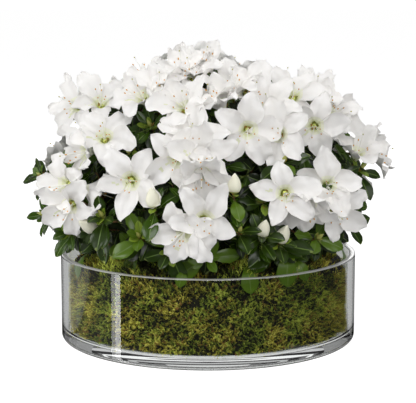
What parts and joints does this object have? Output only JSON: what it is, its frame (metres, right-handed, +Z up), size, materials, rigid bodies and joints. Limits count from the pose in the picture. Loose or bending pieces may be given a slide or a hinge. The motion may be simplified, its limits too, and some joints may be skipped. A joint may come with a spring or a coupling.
{
  "type": "potted azalea shrub",
  "caption": "Dwarf white-flowering azalea shrub with dark green leaves, planted in a low round clear glass bowl packed with moss.",
  "frame": {"origin": "centre of the glass bowl's flat underside", "axes": "+Z up along the bowl's axis, -Y towards the front of the plant, +X to the plant's right as seen from the front"},
  "size_m": [0.3566, 0.3432, 0.2842],
  "materials": {
    "clear_glass": "clear polished glass with a rounded rim",
    "moss": "feathery olive and yellow-green moss, matte",
    "bark": "fine brown bark, matte",
    "foliage": "white petals with dark green satin leaves"
  },
  "bodies": {
    "root": {"glass_bowl": "clear_glass", "moss_fill": "moss", "main_stem": "bark", "bough_01": "bark", "bough_02": "bark", "bough_03": "bark", "bough_04": "bark", "bough_05": "bark", "bough_06": "bark", "bough_07": "bark", "bough_08": "bark", "bough_09": "bark", "bough_10": "bark", "bough_11": "bark", "bough_12": "bark", "bough_13": "bark", "bough_14": "bark", "bough_15": "bark", "bough_16": "bark", "bough_17": "bark", "foliage_01": "foliage", "foliage_02": "foliage", "foliage_03": "foliage", "foliage_04": "foliage", "foliage_05": "foliage", "foliage_06": "foliage", "foliage_07": "foliage", "foliage_08": "foliage", "foliage_09": "foliage", "foliage_10": "foliage", "foliage_11": "foliage", "foliage_12": "foliage", "foliage_13": "foliage", "foliage_14": "foliage", "foliage_15": "foliage", "foliage_16": "foliage", "foliage_17": "foliage"}
  },
  "joints": []
}
